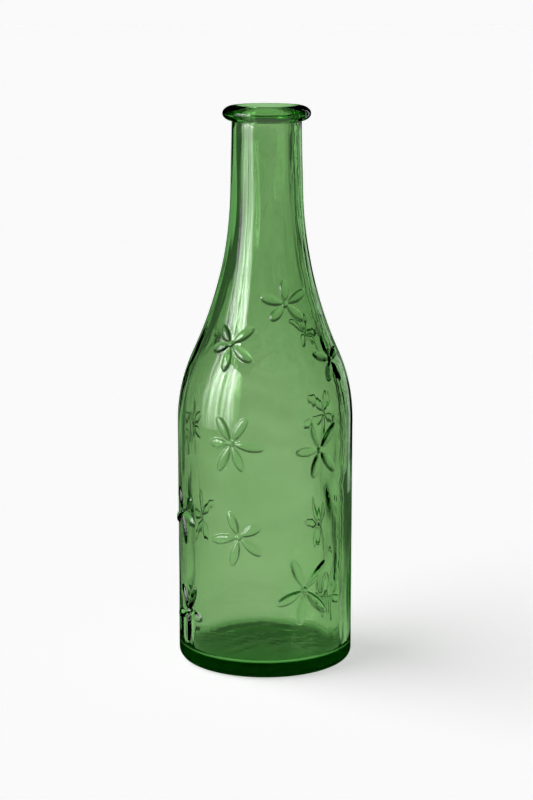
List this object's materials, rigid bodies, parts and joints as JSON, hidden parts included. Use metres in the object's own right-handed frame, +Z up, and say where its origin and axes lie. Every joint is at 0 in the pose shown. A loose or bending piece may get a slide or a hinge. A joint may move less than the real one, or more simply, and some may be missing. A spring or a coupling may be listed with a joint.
{
  "type": "bud vase",
  "caption": "Bottle-shaped bud vase in green moulded glass, with flowers in low relief round its body and shoulder, a thick base and a ring lip.",
  "frame": {"origin": "middle of the underside, on the surface the vase stands on", "axes": "+Z up along the axis of the bottle, -Y the front as seen in the picture, +X to the right of the front"},
  "size_m": [0.0804, 0.0807, 0.255],
  "materials": {
    "green_glass": "moulded, slightly uneven, glossy",
    "green_glass_lip": "fire polished, glossy",
    "green_glass_base": "moulded, rippled, glossy",
    "green_glass_relief": "moulded relief, glossy"
  },
  "bodies": {
    "root": {"bottle_wall": "green_glass", "lip_ring": "green_glass_lip", "base": "green_glass_base", "flower_01": "green_glass_relief", "flower_02": "green_glass_relief", "flower_03": "green_glass_relief", "flower_04": "green_glass_relief", "flower_05": "green_glass_relief", "flower_06": "green_glass_relief", "flower_07": "green_glass_relief", "flower_08": "green_glass_relief", "flower_09": "green_glass_relief", "flower_10": "green_glass_relief", "flower_11": "green_glass_relief", "flower_12": "green_glass_relief", "flower_13": "green_glass_relief", "flower_14": "green_glass_relief", "flower_15": "green_glass_relief", "flower_16": "green_glass_relief"}
  },
  "joints": []
}
